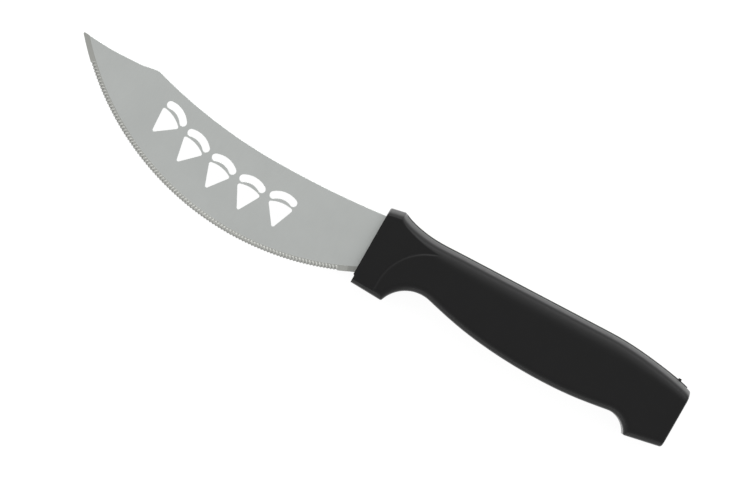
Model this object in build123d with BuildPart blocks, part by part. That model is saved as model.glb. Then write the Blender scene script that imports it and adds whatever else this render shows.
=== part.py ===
from build123d import *
import math
import os

# A rocking pizza knife, lying on its side: a curved, finely serrated blade whose tang is
# moulded into a plastic handle. X runs from the blade's tip to the butt, Y from the cutting
# edge to the spine, and Z up through the thickness. All lengths are in millimetres.
# Side-view places are measured from the middle of the handle's front face, on the blade's
# middle plane: ahead of it X is negative, and the cutting edge lies below it.

# Blade sheet, side view
blade_reach = 125.8          # handle front to the tip, before the tip is rounded
blade_thickness = 1.2
tip_height = 13.65
tip_round = 0.4
edge_drop = 23.3             # the cutting edge's lowest place
edge_heel_drop = 12.8        # the cutting edge where it enters the handle
edge_low_share = 0.364       # how far ahead of the handle the lowest place is
spine_low_height = 7.4
spine_low_share = 0.346
spine_heel_height = 10.1     # the spine where it enters the handle
hump_height = 14.7
hump_share = 0.757
hump_round = 3.0
notch_height = 13.6
notch_share = 0.805
hump_bow_share = 0.58        # how far up its height the hump's front is halfway
spine_break = 0.12           # chamfer along the spine
# points of the clipped back between the tip and the notch: along the reach, up the tip
clip_shares = ((0.960, 0.977), (0.902, 0.955), (0.851, 0.971))

# Ground bevel and serrations, on the upper side only
bevel_width = 2.1
edge_land = 0.12             # sheet left at the sharp edge
bevel_stop = 2.5             # the bevel ends this far ahead of the handle
serration_pitch = 1.22
serration_start = 12.0       # from the tip, along the edge
serration_stop = 6.5         # from the handle, along the edge
flute_radius = 1.0
flute_depth = 0.36           # how far a flute bites in from the edge
flute_length = 1.9           # how far it runs in from the edge

# Five punched windows, each a crust slot over a slice with its point to the edge
window_count = 5
window_setback = 15.4        # middle of a window to the cutting edge
window_first_share = 0.321   # along the edge from the tip
window_last_share = 0.757
slice_width = 9.4
slice_length = 9.6
slice_round = 0.7
crust_width = 10.4
crust_height = 2.7
crust_bow = 1.1              # how far the crust's middle stands over its ends
crust_gap = 1.3              # sheet left between the crust slot and the slice
window_break = 0.1           # rolled edge of the punched windows

# Tang, inside the handle
tang_root = 3.5              # full-width sheet inside the handle's mouth
tang_top = 6.6
tang_drop = 4.9
tang_end_height = 9.0
tang_cover = 36.6            # plastic behind the tang's end
tang_round = 1.6
tang_hole = 5.0
tang_hole_count = 3
tang_hole_shares = (0.27, 0.80)   # the first and the last hole along the tang

# Handle, side view
handle_length = 124.6
mouth_wall = 0.6             # plastic under the cutting edge at the mouth
mouth_proud = 0.5            # the mouth stands ahead of the guard
mouth_round = 0.8
guard_depth = 3.45           # the guard's back corner, below the mouth
guard_fall = 0.35            # how much the guard's foot falls from front to back
guard_reach = 13.1
horn_front_rise = 3.26       # the horn over the blade's spine, at the front
horn_rise = 1.22             # and how much it climbs to its back
horn_reach = 5.55
butt_drop = 12.7
butt_round = 1.0
corner_round = 0.8           # guard's back corner and hook's tip
lower_round = 3.0            # rounding along the guard, belly and hook
# the underside from the guard to the hook: along the handle, down the guard
notch_front_share = (0.139, 0.636)
notch_back_share = (0.2247, 0.4997)
notch_roof_share = 0.478
belly_shares = ((0.3395, 0.6825), (0.4535, 0.783), (0.558, 0.812), (0.708, 0.757))
hook_throat_share = (0.8154, 0.636)
hook_bend_share = (0.8596, 0.6926)
hook_tip_share = (0.8884, 0.932)

# Handle, cross-section
handle_thickness = 16.0
top_round_height = 7.0       # the grip's upper rounding, side view
crest_half_width = 1.0       # from the parting line to where each side starts to lean in
crest_slope = 18.0           # degrees, the draft that each side has in its mould
shoulder_reach = 4.9         # from the parting line to where a side starts to round over
horn_round_share = 0.60      # how much of the upper rounding's height the horn has
# the parting line from behind the horn to the butt: along the handle, up the horn, then how
# much of the upper rounding's height the crest under it has
top_shares = (
    (0.060, 0.941, 0.62),
    (0.084, 0.8745, 0.66),
    (0.120, 0.813, 0.74),
    (0.1645, 0.7805, 0.80),
    (0.225, 0.794, 0.88),
    (0.337, 0.828, 0.96),
    (0.450, 0.862, 1.0),
    (0.562, 0.896, 1.0),
    (0.674, 0.929, 1.0),
    (0.7625, 0.945, 0.97),
    (0.851, 0.8915, 0.88),
    (0.955, 0.7613, 0.72),
    (1.0, 0.655, 0.66),
)

# The flat cheeks of the grip end at the front in an arc, a small step over the bolster
pad_reach = 28.2             # centre of the arc
pad_drop = 11.8
pad_radius = 19.5
mouth_inset = 0.5            # how far each bolster cheek leans in at the mouth
bolster_step = 0.25          # and over the middle of the arc
step_slope = 55.0            # degrees, how far the step leans back

# Moulding marks: the line along the crest where the mould parts, and the gate's scar
parting_width = 0.6
parting_height = 0.3         # how far the line stands over the grip's crest
gate_radius = 0.55
gate_height = 0.6
gate_slope = 12.0            # degrees, how much the scar tapers

overrun = 2.0                # how far cuts run past what they cut

# What follows from the sizes
half_sheet = blade_thickness / 2
half_handle = handle_thickness / 2
mouth_drop = edge_heel_drop + mouth_wall
guard_drop = mouth_drop + guard_depth
horn_front_height = spine_heel_height + horn_front_rise
horn_height = horn_front_height + horn_rise
tang_length = handle_length - tang_cover
tang_middle = (tang_top - tang_drop) / 2
crest_fall = math.tan(math.radians(crest_slope))
shoulder_drop = (shoulder_reach - crest_half_width) * crest_fall
corner_drop = (half_handle - crest_half_width) * crest_fall

# The frame's origin lies under the middle of the whole knife's box
tip_loss_share = 1.3         # of its rounding, how much the tip's corner loses
middle_x = (handle_length - blade_reach + tip_loss_share * tip_round) / 2
middle_y = (horn_height - edge_drop) / 2
side = Plane(origin=(-middle_x, -middle_y, half_handle))


def spot(edge):
    """Middle of an edge, as a side-view place."""
    return side.to_local_coords(edge.center())


def station(x):
    """The upright plane across the knife at x, with Y to its right and Z up."""
    return Plane(origin=side.from_local_coords((x, 0, 0)), x_dir=(0, 1, 0), z_dir=(1, 0, 0))


def circle_through(a, b, c):
    """Centre and radius of the circle through three places."""
    turn = 2 * (a[0] * (b[1] - c[1]) + b[0] * (c[1] - a[1]) + c[0] * (a[1] - b[1]))
    far_a, far_b, far_c = (place[0] ** 2 + place[1] ** 2 for place in (a, b, c))
    x = (far_a * (b[1] - c[1]) + far_b * (c[1] - a[1]) + far_c * (a[1] - b[1])) / turn
    y = (far_a * (c[0] - b[0]) + far_b * (a[0] - c[0]) + far_c * (b[0] - a[0])) / turn
    return (x, y), math.dist((x, y), a)


# The cutting edge is one arc from the tip to the handle
tip = (-blade_reach, tip_height)
edge_low = (-edge_low_share * blade_reach, -edge_drop)
edge_heel = (0, -edge_heel_drop)
edge_center, edge_radius = circle_through(tip, edge_low, edge_heel)
degrees_per_mm = math.degrees(1 / edge_radius)


def edge_angle(place):
    """Degrees round the edge's centre, from straight down, growing towards the handle."""
    return math.degrees(math.atan2(place[0] - edge_center[0], edge_center[1] - place[1]))


tip_angle = edge_angle(tip)
heel_angle = edge_angle(edge_heel)

# Edge plane: centred on the edge's arc, X straight down to the edge, Y towards the handle
edge_plane = Plane(
    origin=side.from_local_coords((edge_center[0], edge_center[1], 0)), x_dir=(0, -1, 0)
)

# Blank: the stamped sheet with its tang, before it is punched and ground
spine_low = (-spine_low_share * blade_reach, spine_low_height)
spine_heel = (0, spine_heel_height)
hump = (-hump_share * blade_reach, hump_height)
notch = (-notch_share * blade_reach, notch_height)
hump_front = ((hump[0] + notch[0]) / 2, notch[1] + hump_bow_share * (hump[1] - notch[1]))
clip_points = [(-along * blade_reach, up * tip_height) for along, up in clip_shares]
tang_end_top = (tang_length, tang_middle + tang_end_height / 2)
tang_end_low = (tang_length, tang_middle - tang_end_height / 2)
tang_neck_top = (tang_root, tang_top)
tang_neck_low = (tang_root, -tang_drop)
hole_first, hole_last = (share * tang_length for share in tang_hole_shares)
hole_pitch = (hole_last - hole_first) / (tang_hole_count - 1)

with BuildPart() as blank:
    with BuildSketch(side.offset(-half_sheet)) as outline:
        with BuildLine():
            ThreePointArc(tip, edge_low, edge_heel)
            Polyline(
                edge_heel, (tang_root, -edge_heel_drop), tang_neck_low, tang_end_low,
                tang_end_top, tang_neck_top, (tang_root, spine_heel_height), spine_heel,
            )
            TangentArc(spine_low, spine_heel, tangent=(1, 0))
            TangentArc(spine_low, hump, tangent=(-1, 0))
            ThreePointArc(hump, hump_front, notch)
            Spline(notch, *reversed(clip_points), tip)
        make_face()
        fillet(outline.vertices().sort_by_distance(tip)[0], tip_round)
        fillet(outline.vertices().sort_by_distance(hump)[0], hump_round)
        fillet(outline.vertices().sort_by(Axis.X)[-2:], tang_end_height / 3)
        for corner in (tang_neck_top, tang_neck_low):
            fillet(outline.vertices().sort_by_distance(corner)[0], tang_round)
        with Locations(((hole_first + hole_last) / 2, tang_middle)):
            with GridLocations(hole_pitch, hole_pitch, tang_hole_count, 1):
                Circle(tang_hole / 2, mode=Mode.SUBTRACT)
    extrude(amount=blade_thickness)

# Bevel tool: the ring of metal that grinding takes off, from past the tip to near the handle
overrun_turn = overrun * degrees_per_mm
bevel_rise = blade_thickness - edge_land
tip_frame = edge_plane.rotated((0, 0, tip_angle - overrun_turn))

with BuildPart() as bevel_tool:
    with BuildSketch(
        Plane(origin=tip_frame.origin, x_dir=tip_frame.x_dir, z_dir=-tip_frame.y_dir)
    ):
        with BuildLine():
            Polyline(
                (edge_radius - bevel_width, half_sheet),
                (edge_radius, edge_land - half_sheet),
                (edge_radius + overrun, edge_land - half_sheet),
                (edge_radius + overrun, half_sheet + overrun),
                (edge_radius - bevel_width, half_sheet + overrun),
                close=True,
            )
        make_face()
    revolve(
        axis=Axis(edge_plane.origin, (0, 0, 1)),
        revolution_arc=heel_angle - tip_angle + overrun_turn - bevel_stop * degrees_per_mm,
    )

# Flute tool: a round bar whose deepest line climbs from under the edge until it leaves the
# bevel, drawn where X points out through the edge
flute_run = flute_length - flute_depth
flute_rise = edge_land + flute_length * bevel_rise / bevel_width
flute_way = Vector(-flute_run, 0, flute_rise).normalized()
flute_out = Vector(flute_rise, 0, flute_run).normalized()
flute_foot = Vector(-flute_depth, 0, -half_sheet) + flute_out * flute_radius

with BuildPart() as flute_tool:
    with BuildSketch(Plane(origin=flute_foot, x_dir=(0, 1, 0), z_dir=flute_way)):
        Circle(flute_radius)
    extrude(amount=math.hypot(flute_run, flute_rise) + overrun, both=True)

# One window, drawn with X to the edge and Y along it
window_height = crust_height + crust_gap + slice_length
crust_middle = (crust_height - window_height) / 2
crust_end = (crust_middle + crust_bow, (crust_width - crust_height) / 2)
slice_top = window_height / 2 - slice_length
slice_corner = (slice_top + crust_bow * slice_width / crust_width, slice_width / 2)
slice_point = (window_height / 2, 0)

with BuildSketch() as slice_hole:
    with BuildLine():
        ThreePointArc((slice_corner[0], -slice_corner[1]), (slice_top, 0), slice_corner)
        Polyline(slice_corner, slice_point, (slice_corner[0], -slice_corner[1]))
    make_face()
    fillet(slice_hole.vertices(), slice_round)

with BuildSketch() as window:
    with BuildLine(mode=Mode.PRIVATE):
        crust = ThreePointArc((crust_end[0], -crust_end[1]), (crust_middle, 0), crust_end)
    SlotArc(crust, crust_height)
    add(slice_hole.sketch)

window_first = tip_angle + window_first_share * (heel_angle - tip_angle)
window_last = tip_angle + window_last_share * (heel_angle - tip_angle)
flute_first = tip_angle + serration_start * degrees_per_mm
flute_last = heel_angle - serration_stop * degrees_per_mm
flute_turn = serration_pitch * degrees_per_mm
flute_count = 1 + int((flute_last - flute_first) / flute_turn)

with BuildPart() as blade:
    add(blank.part)
    with BuildSketch(edge_plane.offset(-half_sheet)):
        with PolarLocations(
            edge_radius - window_setback, window_count, window_first,
            window_last - window_first, endpoint=True,
        ):
            add(window.sketch)
    extrude(amount=blade_thickness, mode=Mode.SUBTRACT)
    for face in (blade.faces().sort_by(Axis.Z)[0], blade.faces().sort_by(Axis.Z)[-1]):
        rims = [wire for wire in face.inner_wires() if spot(wire).X < 0]
        fillet([edge for rim in rims for edge in rim.edges()], window_break)
    flat_edges = blade.edges().filter_by(Plane.XY)
    chamfer([e for e in flat_edges if spot(e).X < 0 and spot(e).Y > spine_low_height], spine_break)
    add(bevel_tool.part, mode=Mode.SUBTRACT)
    with Locations(edge_plane.location):
        with PolarLocations(
            edge_radius, flute_count, flute_first, (flute_count - 1) * flute_turn, endpoint=True
        ):
            add(flute_tool.part, mode=Mode.SUBTRACT)
blade.part.label = "blade"


def underside(share):
    """A place on the handle's underside, from its shares."""
    return (share[0] * handle_length, -share[1] * guard_drop)


# Slab: the handle's side view with an open top, its lower edges and its butt rounded
guard_front = (mouth_proud, guard_fall - guard_drop)
guard_back = (guard_reach, -guard_drop)
hook_tip = underside(hook_tip_share)
slab_top = horn_height + overrun

with BuildPart() as slab:
    with BuildSketch(side.offset(-half_handle)) as side_view:
        with BuildLine():
            Polyline(
                (0, slab_top), (0, -mouth_drop), (mouth_proud, -mouth_drop - mouth_proud),
                guard_front, guard_back,
            )
            finger_notch = ThreePointArc(
                guard_back, underside(notch_front_share), underside(notch_back_share)
            )
            hook = ThreePointArc(
                underside(hook_throat_share), underside(hook_bend_share), hook_tip
            )
            Spline(
                finger_notch @ 1, *[underside(share) for share in belly_shares], hook @ 0,
                tangents=[finger_notch % 1, hook % 0],
            )
            Polyline(
                hook_tip, (handle_length, -butt_drop), (handle_length, slab_top), (0, slab_top)
            )
        make_face()
    extrude(amount=handle_thickness)
    notch_roof = -notch_roof_share * guard_drop
    flat_edges = slab.edges().filter_by(Plane.XY)
    fillet(
        [e for e in flat_edges if spot(e).Y < notch_roof and spot(e).X > 2 * mouth_proud],
        lower_round,
    )
    butt = slab.faces().sort_by(Axis.X)[-1]
    fillet([e for e in butt.edges() if spot(e).Y < horn_height], butt_round)
    with BuildSketch(side.offset(-half_handle)) as rounded_view:
        add(side_view.sketch_local)
        for corner in (guard_back, hook_tip):
            fillet(rounded_view.vertices().sort_by_distance(corner)[0], corner_round)
    extrude(amount=handle_thickness, mode=Mode.INTERSECT)

section_low = -guard_drop - overrun


def cross_section(x, top, height_share):
    """The handle's section at x: flat cheeks, and sides that lean in from the crest's line."""
    spring = top - height_share * top_round_height
    outline = (
        (top, 0), (top, crest_half_width), (top - shoulder_drop, shoulder_reach),
        (top - corner_drop, half_handle), (spring, half_handle),
    )
    with BuildSketch(station(x)) as shape:
        with BuildLine():
            for sense in (1, -1):
                ridge, bend, shoulder, corner, cheek = [
                    (height, sense * depth) for height, depth in outline
                ]
                Bezier(ridge, bend, shoulder)
                Bezier(shoulder, corner, cheek)
            Polyline(
                (spring, half_handle), (section_low, half_handle),
                (section_low, -half_handle), (spring, -half_handle),
            )
        make_face()
    return shape.sketch


horn_back = cross_section(horn_reach, horn_height, horn_round_share)
horn_front = cross_section(0, horn_front_height, horn_round_share)
grip_sections = [
    cross_section(along * handle_length, up * horn_height - parting_height, height)
    for along, up, height in top_shares
]

# Bolster tool: each cheek ahead of the pad's arc leans in towards the mouth
lean_rise = mouth_inset - bolster_step
lean = Plane(
    origin=side.from_local_coords((0, 0, half_handle - mouth_inset)),
    x_dir=(pad_reach, 0, lean_rise),
    z_dir=(-lean_rise, 0, pad_reach),
)
arc_front = (pad_reach - pad_radius, -pad_drop)
arc_top = (pad_reach, pad_radius - pad_drop)

with BuildPart() as bolster_tool:
    with BuildSketch(lean):
        with BuildLine():
            CenterArc((pad_reach, -pad_drop), pad_radius, 90, 90)
            Polyline(
                arc_front, (arc_front[0], section_low), (-overrun, section_low),
                (-overrun, slab_top), (pad_reach, slab_top), arc_top,
            )
        make_face()
    extrude(amount=overrun, taper=-step_slope)


def parting_section(x, top):
    """The parting line's section at x: a thin upright strip that rises through the crest."""
    with BuildSketch(station(x)) as strip:
        with Locations((top, 0)):
            Rectangle(horn_rise + parting_height, parting_width, align=(Align.MAX, Align.CENTER))
    return strip.sketch


# Parting line: along the grip's crest, from behind the horn to ahead of the butt's rounding
parting_sections = [
    parting_section(along * handle_length, up * horn_height) for along, up, height in top_shares
]
with BuildPart() as parting:
    loft(sections=[parting_section(horn_reach, horn_height)] + parting_sections)
    split(bisect_by=station(handle_length - 2 * butt_round), keep=Keep.BOTTOM)
    split(bisect_by=station(horn_reach + parting_width), keep=Keep.TOP)

# The gate's scar stands on the crest near the butt, at the last place but one
gate_along, gate_up = top_shares[-2][:2]
gate_plane = Plane(
    origin=side.from_local_coords((gate_along * handle_length, gate_up * horn_height, 0)),
    x_dir=(1, 0, 0), z_dir=(0, -1, 0),
)

with BuildPart() as handle:
    loft(sections=[horn_back] + grip_sections)
    butt = handle.faces().sort_by(Axis.X)[-1]
    fillet([e for e in butt.edges() if spot(e).Y > section_low + overrun / 2], butt_round)
    loft(sections=[horn_front, horn_back], ruled=True)
    mouth = handle.faces().sort_by(Axis.X)[0]
    fillet([e for e in mouth.edges() if spot(e).Y > section_low + overrun / 2], mouth_round)
    add(slab.part, mode=Mode.INTERSECT)
    add(bolster_tool.part, mode=Mode.SUBTRACT)
    add(mirror(bolster_tool.part, about=side, mode=Mode.PRIVATE), mode=Mode.SUBTRACT)
    add(parting.part)
    with BuildSketch(gate_plane.offset(-gate_height)):
        Circle(gate_radius)
    extrude(amount=gate_height + overrun, taper=-gate_slope)
    add(blank.part, mode=Mode.SUBTRACT)
handle.part.label = "handle"

os.makedirs("parts", exist_ok=True)
export_step(blade.part, "parts/blade.step")
export_step(handle.part, "parts/handle.step")
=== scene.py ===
import math

import bpy
from bpy.props import FloatProperty, FloatVectorProperty, PointerProperty
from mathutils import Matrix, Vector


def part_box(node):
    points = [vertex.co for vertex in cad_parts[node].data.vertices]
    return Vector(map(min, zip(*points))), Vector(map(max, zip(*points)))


bl_info = {
    "name": "Rocking Pizza Knife",
    "version": (1, 0, 0),
    "blender": (4, 5, 0),
    "location": "View3D > Sidebar > Knife",
    "description": "Finishes a curved pizza knife in satin steel and moulded plastic",
    "category": "Object",
}

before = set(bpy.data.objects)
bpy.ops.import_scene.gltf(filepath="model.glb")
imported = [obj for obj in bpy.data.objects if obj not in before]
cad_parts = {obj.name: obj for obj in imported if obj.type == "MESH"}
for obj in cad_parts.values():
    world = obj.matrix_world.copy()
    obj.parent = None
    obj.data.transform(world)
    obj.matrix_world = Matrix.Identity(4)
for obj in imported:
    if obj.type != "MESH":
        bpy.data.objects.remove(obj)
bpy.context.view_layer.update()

mm = 0.001

# Places that the CAD fixes, in the frame: the cutting edge's arc and the blade's sheet
edge_centre = (-45.46 * mm, 86.13 * mm, 0)
edge_radius = 105.1 * mm
sheet_low, sheet_high = (corner.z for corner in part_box("blade"))
bevel_width = 2.1 * mm
edge_land = 0.12 * mm
bevel_fall = (sheet_high - sheet_low - edge_land) / bevel_width

# Marks of the steel. A fade is where a mark starts and where it is full.
bevel_fade = (-0.02 * mm, 0.06 * mm)      # outwards from the bevel's start
flute_fade = (0.04 * mm, 0.20 * mm)       # down from the bevel
wall_foot_fade = (0.04 * mm, 0.16 * mm)   # up from the sheet's lower face
wall_top_fade = (0.14 * mm, 0.26 * mm)    # down from its upper face
line_change = (1, 0.025, 0.3)             # how fast the sheet's lines change along each axis
bevel_line_change = 0.03                  # and the bevel's, across the bevel
bevel_line_share = 0.8                    # width of the bevel's lines over the sheet's
steel_cloud_size = 14 * mm
steel_cloud_tones = (0.94, 1.06)
line_tones = (0.97, 1.03)
rough_walls = 0.12                        # how much rougher the serrations and walls are

# Marks of the plastic
skin_cloud_size = 9 * mm
skin_cloud_gain = 1.5                     # how much paler the plastic is in the cloud
grain_roughness = (-0.03, 0.03)
wave_size = 30 * mm
wave_depth = 0.05 * mm
bloom_spread = 0.3

cloud_roughness = 0.04                    # both materials' roughness varies by it each way

# The stage
white = (1, 1, 1, 1)
floor_size = 6
floor_grey = 0.8                          # what lights the knife from below
shown_grey, shown_glow = 0.14, 0.9        # what the camera sees: white with faint shadows
lamp_width = 900 * mm
picture_middle = (2.8 * mm, 1.95 * mm)


# Properties

class BladeFinish(bpy.types.PropertyGroup):
    """Colours and marks of the steel; the bevel, serration and wall colours are painted
    shade.
    """

    face_colour: FloatVectorProperty(
        name="Face", description="The blade's flat face", subtype="COLOR",
        default=(0.470, 0.486, 0.474), min=0, max=1,
    )
    # painted shade: the ground bevel is given a darker steel colour than the face, standing
    # in for the light it catches less of
    bevel_painted_shade: FloatVectorProperty(
        name="Bevel", description="The ground bevel along the edge", subtype="COLOR",
        default=(0.300, 0.304, 0.287), min=0, max=1,
    )
    # painted shade: the bottoms of the serrations are painted darker, standing in for the
    # shade in these hollows
    flute_painted_shade: FloatVectorProperty(
        name="Serrations", description="The bottoms of the serrations", subtype="COLOR",
        default=(0.205, 0.207, 0.196), min=0, max=1,
    )
    # painted shade: the punched walls between the sheet's faces are painted dark, standing in
    # for shade and dark reflections there
    wall_painted_shade: FloatVectorProperty(
        name="Walls", description="The punched walls of the sheet", subtype="COLOR",
        default=(0.21, 0.212, 0.208), min=0, max=1,
    )
    roughness: FloatProperty(
        name="Roughness", description="How satin the steel is", subtype="FACTOR",
        default=0.34, min=0, max=1,
    )
    line_width: FloatProperty(
        name="Line width", description="Width of one grinding line", unit="LENGTH",
        default=0.09 * mm,
    )
    line_depth: FloatProperty(
        name="Line depth", description="Depth of the grinding lines", unit="LENGTH",
        default=0.002 * mm,
    )


class HandleFinish(bpy.types.PropertyGroup):
    """Colour and texture of the moulded plastic."""

    colour: FloatVectorProperty(
        name="Plastic", description="The plastic's own colour", subtype="COLOR",
        default=(0.0018, 0.0018, 0.0019), min=0, max=1,
    )
    roughness: FloatProperty(
        name="Roughness", description="How satin the moulded skin is", subtype="FACTOR",
        default=0.42, min=0, max=1,
    )
    specular: FloatProperty(
        name="Specular", description="How much the skin reflects face on", subtype="FACTOR",
        default=0.19, min=0, max=1,
    )
    bloom: FloatProperty(
        name="Bloom", description="How pale the skin turns where it is seen edge on",
        subtype="FACTOR", default=0.6, min=0, max=1,
    )
    soft_edge: FloatProperty(
        name="Soft edge", description="Rounding of the moulded edges", unit="LENGTH",
        default=0.5 * mm,
    )
    grain_size: FloatProperty(
        name="Grain size", description="Size of the mould's fine texture", unit="LENGTH",
        default=0.22 * mm,
    )
    grain_depth: FloatProperty(
        name="Grain depth", description="Depth of the mould's fine texture", unit="LENGTH",
        default=0.008 * mm,
    )


class Studio(bpy.types.PropertyGroup):
    """The stage: where the camera stands and how strong the light is."""

    distance: FloatProperty(
        name="Distance", description="From the camera to the blade", unit="LENGTH",
        default=1500 * mm,
    )
    turn: FloatProperty(
        name="Turn", description="How far the camera is turned about the upright",
        subtype="ANGLE", default=math.radians(29.75),
    )
    lens: FloatProperty(
        name="Lens", description="Focal length in millimetres", default=203.3, min=1,
    )
    spine_light: FloatProperty(
        name="Spine light", description="The low soft lamp on the spine's side", unit="POWER",
        default=2.2,
    )
    high_light: FloatProperty(
        name="High light", description="The high soft lamp on the spine's side", unit="POWER",
        default=2.1,
    )
    edge_light: FloatProperty(
        name="Edge light", description="The low soft lamp on the cutting edge's side",
        unit="POWER", default=1.6,
    )
    overhead: FloatProperty(
        name="Overhead", description="Brightness of the surround overhead", default=0.81,
        min=0,
    )
    horizon: FloatProperty(
        name="Horizon", description="Brightness of the surround at the horizon", default=1.25,
        min=0,
    )
    spine_lean: FloatProperty(
        name="Spine lean", description="How much brighter it is on the spine's side",
        default=0.12,
    )
    tip_lean: FloatProperty(
        name="Tip lean", description="How much brighter it is on the tip's side",
        default=0.12,
    )


# Shader maths

class Value:
    """One output of a node, used in plain arithmetic: each operation adds a Math node."""

    def __init__(self, tree, socket):
        self.tree = tree
        self.socket = socket

    def __add__(self, other):
        return self.tree.math("ADD", self, other)

    def __sub__(self, other):
        return self.tree.math("SUBTRACT", self, other)

    def __rsub__(self, other):
        return self.tree.math("SUBTRACT", other, self)

    def __mul__(self, other):
        return self.tree.math("MULTIPLY", self, other)

    __radd__ = __add__
    __rmul__ = __mul__


class Tree:
    """A shader's node tree, emptied, with one method that adds any node."""

    def __init__(self, owner):
        owner.use_nodes = True
        self.nodes = owner.node_tree.nodes
        self.links = owner.node_tree.links
        self.nodes.clear()

    def add(self, kind, settings=None, sockets=None, output=0):
        """A node with its settings made first, then its sockets given values or links."""
        node = self.nodes.new(kind)
        for name, setting in (settings or {}).items():
            setattr(node, name, setting)
        for key, value in (sockets or {}).items():
            if isinstance(value, Value):
                self.links.new(value.socket, node.inputs[key])
            else:
                node.inputs[key].default_value = value
        if len(node.outputs):
            return Value(self, node.outputs[output])

    def math(self, operation, *terms):
        return self.add("ShaderNodeMath", {"operation": operation}, dict(enumerate(terms)))

    def vector(self, operation, *terms, output=0):
        settings = {"operation": operation}
        return self.add("ShaderNodeVectorMath", settings, dict(enumerate(terms)), output)

    def place(self):
        return self.add("ShaderNodeTexCoord", output="Object")

    def axis(self, vector, axis):
        return self.add("ShaderNodeSeparateXYZ", None, {"Vector": vector}, axis)

    def noise(self, place, size, detail, roughness=0.5):
        """Noise whose blotches are about that size."""
        sockets = {
            "Vector": place, "Scale": 1 / size, "Detail": detail, "Roughness": roughness,
        }
        return self.add("ShaderNodeTexNoise", None, sockets)

    def step(self, value, low, high):
        """0 below low, 1 above high and smooth between them."""
        sockets = {"Value": value, "From Min": low, "From Max": high}
        return self.add("ShaderNodeMapRange", {"interpolation_type": "SMOOTHSTEP"}, sockets)

    def between(self, value, low, high):
        """A number from low to high as value goes from 0 to 1."""
        return value * (high - low) + low

    def around(self, value, middle, swing):
        """A number that swings to both sides of middle as value goes from 0 to 1."""
        return self.between(value, middle - swing, middle + swing)

    def mix(self, factor, colour, other):
        sockets = {0: factor, 6: colour, 7: other}
        return self.add("ShaderNodeMix", {"data_type": "RGBA"}, sockets, 2)

    def bump(self, height, distance, **normal):
        sockets = {"Height": height, "Distance": distance, **normal}
        return self.add("ShaderNodeBump", None, sockets)


def opaque(colour):
    return (*colour, 1.0)


# Materials

def satin_steel(finish):
    """Rolled sheet with fine lines across it, and a bevel ground along the cutting edge."""
    material = bpy.data.materials.new("satin_steel")
    tree = Tree(material)
    place = tree.place()
    height = tree.axis(place, 2)

    # seen from the edge's centre: how far past the bevel's start, and how far along the edge
    out = tree.vector("SUBTRACT", place, edge_centre)
    flat_out = tree.vector("MULTIPLY", out, (1, 1, 0))
    radius = tree.vector("LENGTH", flat_out, output="Value")
    past_start = radius - (edge_radius - bevel_width)
    turn = tree.math("ARCTAN2", tree.axis(flat_out, 0), 0 - tree.axis(flat_out, 1))
    along = turn * edge_radius

    # the ground bevel, and the serrations, which lie deeper than its plane
    ground = tree.step(past_start, *bevel_fade)
    fluted = tree.step(sheet_high - past_start * bevel_fall - height, *flute_fade) * ground

    # the walls that the punch left, between the sheet's two faces
    above = tree.step(height - sheet_low, *wall_foot_fade)
    below = tree.step(sheet_high - height, *wall_top_fade)
    walls = above * below * (1 - ground)

    # lines across the sheet, and lines square to the edge on the bevel
    across = tree.vector("MULTIPLY", place, line_change)
    lines = tree.noise(across, finish.line_width, detail=3)
    sockets = {"X": along, "Y": radius * bevel_line_change}
    square = tree.add("ShaderNodeCombineXYZ", None, sockets)
    bevel_lines = tree.noise(square, finish.line_width * bevel_line_share, detail=2)
    marks = tree.mix(ground, lines, bevel_lines)
    cloud = tree.noise(place, steel_cloud_size, detail=3)

    # painted shade: the bevel is painted darker than the face
    face = tree.mix(ground, opaque(finish.face_colour), opaque(finish.bevel_painted_shade))
    # painted shade: the serrations' bottoms are painted darker still
    face = tree.mix(fluted, face, opaque(finish.flute_painted_shade))
    # painted shade: the punched walls are painted dark
    face = tree.mix(walls, face, opaque(finish.wall_painted_shade))
    shade = tree.between(cloud, *steel_cloud_tones) * tree.between(marks, *line_tones)
    scaled = {0: face, "Scale": shade}
    colour = tree.add("ShaderNodeVectorMath", {"operation": "SCALE"}, scaled)

    rough = tree.around(lines, finish.roughness, cloud_roughness)
    rough = rough + (fluted + walls) * rough_walls
    normal = tree.bump(marks, finish.line_depth)
    shader = tree.add("ShaderNodeBsdfPrincipled", None, {
        "Base Color": colour, "Metallic": 1.0, "Roughness": rough, "Normal": normal,
    })
    tree.add("ShaderNodeOutputMaterial", None, {"Surface": shader})
    return material


def moulded_plastic(finish):
    """Black plastic with the satin skin that a finely eroded mould leaves."""
    material = bpy.data.materials.new("moulded_plastic")
    tree = Tree(material)
    place = tree.place()
    grain = tree.noise(place, finish.grain_size, detail=2, roughness=0.6)
    cloud = tree.noise(place, skin_cloud_size, detail=4, roughness=0.6)
    waves = tree.noise(place, wave_size, detail=1)

    paler = opaque(part * skin_cloud_gain for part in finish.colour)
    colour = tree.mix(cloud, opaque(finish.colour), paler)
    rough = tree.around(cloud, finish.roughness, cloud_roughness)
    rough = rough + tree.between(grain, *grain_roughness)
    rounded = tree.add("ShaderNodeBevel", {"samples": 6}, {"Radius": finish.soft_edge})
    skin = tree.bump(waves, wave_depth, Normal=rounded)
    normal = tree.bump(grain, finish.grain_depth, Normal=skin)
    shader = tree.add("ShaderNodeBsdfPrincipled", None, {
        "Base Color": colour, "Roughness": rough, "Specular IOR Level": finish.specular,
        "Sheen Weight": finish.bloom, "Sheen Roughness": bloom_spread, "Normal": normal,
    })
    tree.add("ShaderNodeOutputMaterial", None, {"Surface": shader})
    return material


def seen_directly(tree):
    """1 for the rays that show the surround itself: from the camera, a mirror or glass."""
    camera, mirror, glass = (
        tree.add("ShaderNodeLightPath", output=name)
        for name in ("Is Camera Ray", "Is Glossy Ray", "Is Transmission Ray")
    )
    return tree.math("MAXIMUM", camera, tree.math("MAXIMUM", mirror, glass))


# Operators

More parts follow.
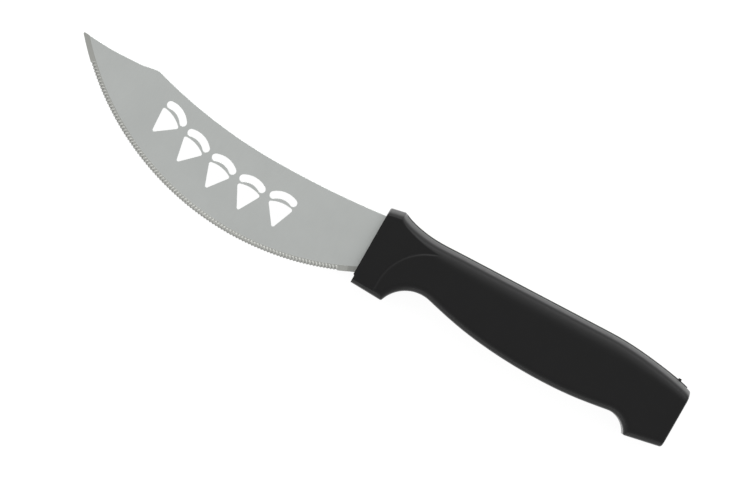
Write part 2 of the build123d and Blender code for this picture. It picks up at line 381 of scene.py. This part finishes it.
class FinishBlade(bpy.types.Operator):
    """Give the blade its satin steel, ground bevel and serrations"""

    bl_idname = "knife.finish_blade"
    bl_label = "Finish Blade"

    def execute(self, context):
        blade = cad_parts["blade"]
        blade.material_slots[0].material = satin_steel(context.scene.knife_blade)
        return {"FINISHED"}


class FinishHandle(bpy.types.Operator):
    """Give the handle its moulded black plastic"""

    bl_idname = "knife.finish_handle"
    bl_label = "Finish Handle"

    def execute(self, context):
        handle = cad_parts["handle"]
        handle.material_slots[0].material = moulded_plastic(context.scene.knife_handle)
        return {"FINISHED"}


class BuildStage(bpy.types.Operator):
    """Add the pale floor, the white surround, the soft lamps and the camera"""

    bl_idname = "knife.build_stage"
    bl_label = "Build Stage"

    def execute(self, context):
        studio = context.scene.knife_studio
        self.floor()
        self.surround(context.scene, studio)
        self.lamps(studio)
        self.camera(context.scene, studio)
        return {"FINISHED"}

    def floor(self):
        bpy.ops.mesh.primitive_plane_add(size=floor_size, location=(0, 0, 0))
        floor = bpy.context.object
        floor.name = "floor"
        material = bpy.data.materials.new("pale_floor")
        tree = Tree(material)
        lit, faint = (
            tree.add("ShaderNodeBsdfDiffuse", None, {"Color": (grey, grey, grey, 1)})
            for grey in (floor_grey, shown_grey)
        )
        glow = tree.add("ShaderNodeEmission", None, {"Color": white, "Strength": shown_glow})
        shown = tree.add("ShaderNodeAddShader", None, {0: faint, 1: glow})
        sockets = {0: seen_directly(tree), 1: lit, 2: shown}
        mixed = tree.add("ShaderNodeMixShader", None, sockets)
        tree.add("ShaderNodeOutputMaterial", None, {"Surface": mixed})
        floor.data.materials.append(material)

    def surround(self, scene, studio):
        world = bpy.data.worlds.new("surround")
        scene.world = world
        tree = Tree(world)
        way = tree.add("ShaderNodeTexCoord", output="Generated")
        up = tree.axis(way, 2)
        to_spine = tree.axis(way, 1) * studio.spine_lean
        to_tip = tree.axis(way, 0) * -studio.tip_lean
        level = tree.between(up * up, studio.horizon, studio.overhead)
        level = level * (to_spine + to_tip + 1)
        light = tree.add("ShaderNodeBackground", None, {"Color": white, "Strength": level})
        shown = tree.add("ShaderNodeBackground", None, {"Color": white})
        camera = tree.add("ShaderNodeLightPath", output="Is Camera Ray")
        mixed = tree.add("ShaderNodeMixShader", None, {0: camera, 1: light, 2: shown})
        tree.add("ShaderNodeOutputWorld", None, {"Surface": mixed})

    def lamps(self, studio):
        """Wide lamps beside the knife, each aimed at its middle."""
        for name, y, z, height, power in (
            ("spine_lamp", 700 * mm, 160 * mm, 220 * mm, studio.spine_light),
            ("high_lamp", 550 * mm, 550 * mm, 600 * mm, studio.high_light),
            ("edge_lamp", -700 * mm, 160 * mm, 220 * mm, studio.edge_light),
        ):
            bpy.ops.object.light_add(type="AREA", location=(0, y, z))
            lamp = bpy.context.object
            lamp.name = name
            lamp.data.shape = "RECTANGLE"
            lamp.data.size = lamp_width
            lamp.data.size_y = height
            lamp.data.energy = power
            lamp.rotation_euler = (-lamp.location).to_track_quat("-Z", "Y").to_euler()

    def camera(self, scene, studio):
        """A camera straight above the knife, turned as the photograph is."""
        height = (sheet_low + sheet_high) / 2 + studio.distance
        bpy.ops.object.camera_add(
            location=(*picture_middle, height), rotation=(0, 0, studio.turn)
        )
        camera = bpy.context.object
        camera.data.lens = studio.lens
        camera.data.clip_start = 10 * mm
        scene.camera = camera


class KnifePanel(bpy.types.Panel):
    """The knife's finishes and its stage"""

    bl_idname = "VIEW3D_PT_knife"
    bl_label = "Rocking Pizza Knife"
    bl_space_type = "VIEW_3D"
    bl_region_type = "UI"
    bl_category = "Knife"

    def draw(self, context):
        steps = (
            (FinishBlade, context.scene.knife_blade),
            (FinishHandle, context.scene.knife_handle),
            (BuildStage, context.scene.knife_studio),
        )
        for operator, group in steps:
            box = self.layout.box()
            for name in group.bl_rna.properties.keys():
                if name not in ("rna_type", "name"):
                    box.prop(group, name)
            box.operator(operator.bl_idname)


classes = (
    BladeFinish, HandleFinish, Studio, FinishBlade, FinishHandle, BuildStage, KnifePanel,
)


def register():
    for cls in classes:
        bpy.utils.register_class(cls)
    bpy.types.Scene.knife_blade = PointerProperty(type=BladeFinish)
    bpy.types.Scene.knife_handle = PointerProperty(type=HandleFinish)
    bpy.types.Scene.knife_studio = PointerProperty(type=Studio)


def unregister():
    del bpy.types.Scene.knife_studio
    del bpy.types.Scene.knife_handle
    del bpy.types.Scene.knife_blade
    for cls in reversed(classes):
        bpy.utils.unregister_class(cls)


def main():
    register()
    bpy.context.scene.view_settings.view_transform = "Standard"
    bpy.ops.knife.finish_blade()
    bpy.ops.knife.finish_handle()
    bpy.ops.knife.build_stage()


if __name__ == "__main__":
    main()
